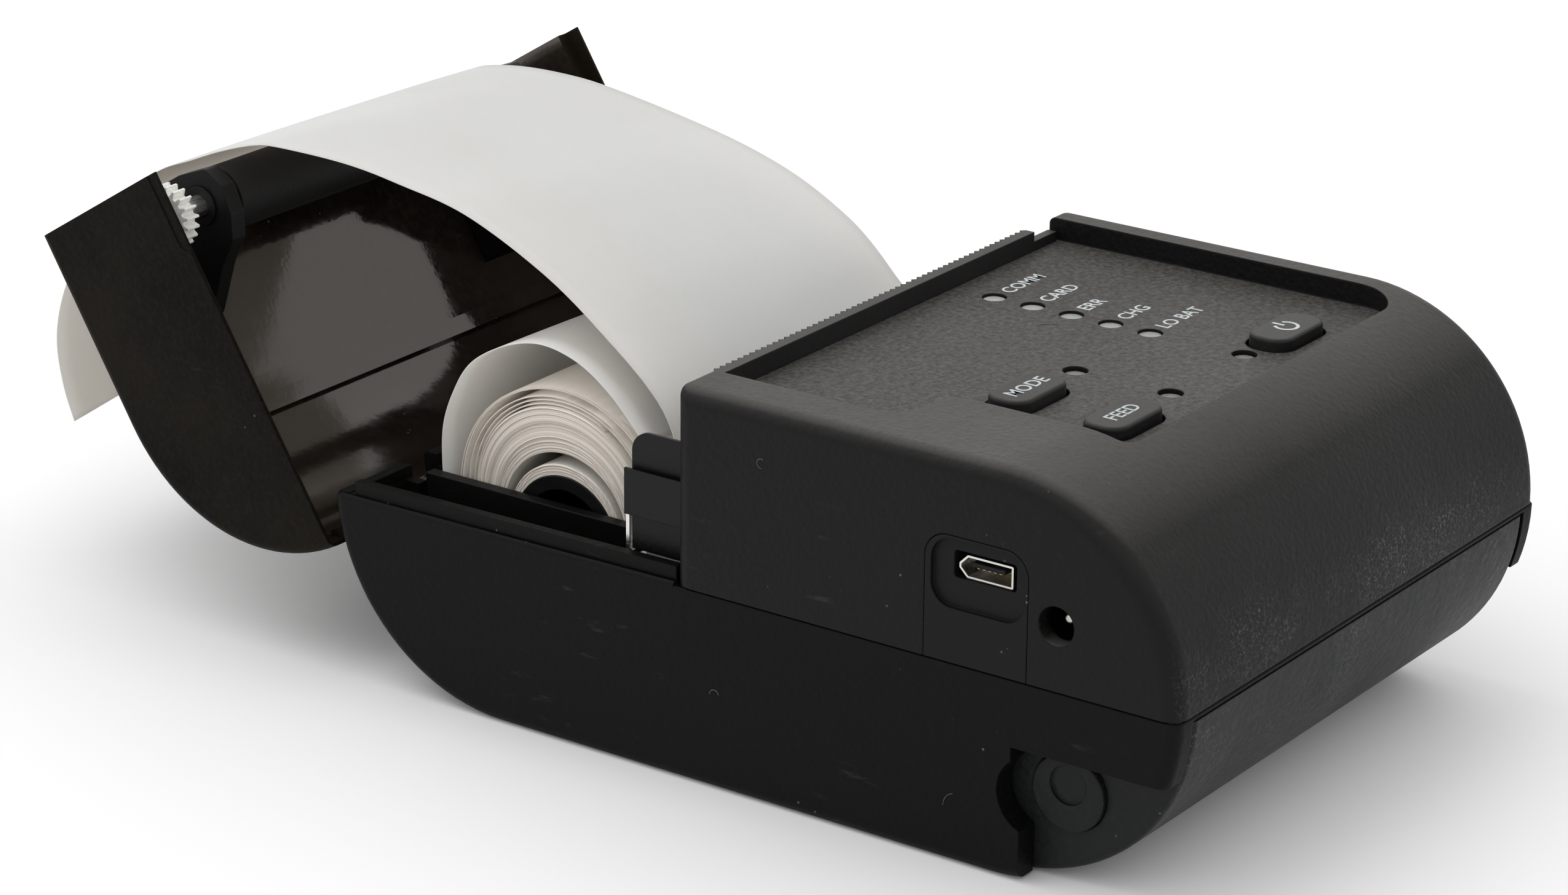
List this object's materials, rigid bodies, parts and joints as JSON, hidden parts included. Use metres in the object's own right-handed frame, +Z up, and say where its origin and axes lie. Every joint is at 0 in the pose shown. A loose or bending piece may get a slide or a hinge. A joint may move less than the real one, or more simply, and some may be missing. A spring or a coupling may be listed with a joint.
{
  "type": "portable receipt printer",
  "caption": "Pocket thermal receipt printer, hinged paper door open with the roll and paper tail, key panel, ports and slide-out battery.",
  "frame": {"origin": "centre of the base's footprint, on the table", "axes": "+X along the rollers towards the power key's side, +Y towards the hinge and paper, +Z up"},
  "size_m": [0.0874, 0.1845, 0.0615],
  "materials": {
    "case_plastic": "fine grained black plastic",
    "door_plastic": "smoked plastic, grained outside and glossy inside",
    "key_plastic": "smooth matte black plastic",
    "battery_plastic": "coarse grained black plastic",
    "inner_plastic": "plain black plastic",
    "gear_plastic": "natural white acetal",
    "lens": "milky clear plastic",
    "steel": "bright rolled sheet and ground steel",
    "aluminium": "as rolled",
    "ceramic": "glazed ceramic substrate",
    "rubber": "ground platen rubber",
    "board": "green solder mask",
    "chip": "moulded component bodies",
    "gold": "gold plated contacts",
    "paper": "smooth thermal paper",
    "core_plastic": "black moulded core",
    "cell_wrap": "shrink sleeve"
  },
  "bodies": {
    "case": {"battery_terminals": "gold", "board_components": "chip", "case_screws": "steel", "chassis_plate": "steel", "data_socket": "steel", "door_switch": "chip", "gear_plate": "steel", "gear_posts": "steel", "head_beam": "inner_plastic", "head_springs": "steel", "hinge_pins": "steel", "indicator_leds": "lens", "jack_pin": "steel", "key_light_pipes": "lens", "key_switches": "chip", "keypad_board": "board", "left_bracket": "inner_plastic", "lower_case": "case_plastic", "main_board": "board", "paper_bin": "inner_plastic", "paper_sensor": "chip", "paper_web": "paper", "port_bezel": "key_plastic", "power_jack": "inner_plastic", "right_bracket": "inner_plastic", "socket_contacts": "gold", "socket_tongue": "inner_plastic", "status_light_pipes": "lens", "stepper_motor": "steel", "tear_bar": "inner_plastic", "upper_cover": "case_plastic"},
    "door": {"door_shell": "door_plastic", "left_platen_bracket": "inner_plastic", "right_platen_bracket": "inner_plastic", "platen_bushes": "inner_plastic", "bracket_screws": "steel"},
    "platen": {"platen_shaft": "steel", "platen_roller": "rubber", "platen_gear": "gear_plastic"},
    "roll": {"wound_paper": "paper", "roll_core": "core_plastic"},
    "battery": {"battery_case": "battery_plastic", "battery_lid": "battery_plastic", "battery_cells": "cell_wrap"},
    "left_release": {"left_release_button": "battery_plastic"},
    "right_release": {"right_release_button": "battery_plastic"},
    "mode_button": {"mode_key": "key_plastic"},
    "feed_button": {"feed_key": "key_plastic"},
    "power_button": {"power_key": "key_plastic"},
    "head": {"heat_sink": "aluminium", "print_head": "ceramic"},
    "drive_wheel": {"drive_gear": "gear_plastic"},
    "idler_wheel": {"idler_gear": "gear_plastic"},
    "motor_rotor": {"motor_pinion": "gear_plastic", "motor_shaft": "steel"}
  },
  "joints": [
    {"name": "door_hinge", "type": "hinge", "parent": "case", "child": "door", "pos_m": [0, 0.0593, 0.0209], "axis": [1, 0, 0], "range_deg": [0, 121.7], "deforming": ["paper_web"]},
    {"name": "platen_spin", "type": "hinge", "parent": "door", "child": "platen", "pos_m": [0, 0.09282, 0.05367], "axis": [1, 0, 0], "continuous": true},
    {"name": "roll_spin", "type": "hinge", "parent": "case", "child": "roll", "pos_m": [0, 0.0366, 0.0229], "axis": [1, 0, 0], "continuous": true},
    {"name": "battery_slide", "type": "slide", "parent": "case", "child": "battery", "axis": [0, -1, 0], "range_m": [0, 0.052]},
    {"name": "left_release_press", "type": "slide", "parent": "battery", "child": "left_release", "axis": [1, 0, 0], "range_m": [0, 0.001], "stiffness_N_per_m": 300, "springref_m": -0.001},
    {"name": "right_release_press", "type": "slide", "parent": "battery", "child": "right_release", "axis": [-1, 0, 0], "range_m": [0, 0.001], "stiffness_N_per_m": 300, "springref_m": -0.001},
    {"name": "mode_press", "type": "slide", "parent": "case", "child": "mode_button", "axis": [0, 0, -1], "range_m": [0, 0.0006], "stiffness_N_per_m": 200, "springref_m": -0.001},
    {"name": "feed_press", "type": "slide", "parent": "case", "child": "feed_button", "axis": [0, 0, -1], "range_m": [0, 0.0006], "stiffness_N_per_m": 200, "springref_m": -0.001},
    {"name": "power_press", "type": "slide", "parent": "case", "child": "power_button", "axis": [0, 0, -1], "range_m": [0, 0.0006], "stiffness_N_per_m": 200, "springref_m": -0.001},
    {"name": "head_pivot", "type": "hinge", "parent": "case", "child": "head", "pos_m": [0, 0.00665, 0.0304], "axis": [1, 0, 0], "range_deg": [0, 1.5], "stiffness_Nm_per_rad": 0.2, "springref_deg": -2.86},
    {"name": "drive_gear_spin", "type": "hinge", "parent": "case", "child": "drive_wheel", "pos_m": [0, 0.01146, 0.02283], "axis": [1, 0, 0], "continuous": true},
    {"name": "idler_gear_spin", "type": "hinge", "parent": "case", "child": "idler_wheel", "pos_m": [0, 0.00311, 0.01653], "axis": [1, 0, 0], "continuous": true},
    {"name": "motor_spin", "type": "hinge", "parent": "case", "child": "motor_rotor", "pos_m": [0, -0.00352, 0.01358], "axis": [1, 0, 0], "continuous": true}
  ],
  "couplings": [
    {"joint": "idler_gear_spin", "follows": "drive_gear_spin", "ratio": -1.1667},
    {"joint": "motor_spin", "follows": "drive_gear_spin", "ratio": 2.3333}
  ]
}
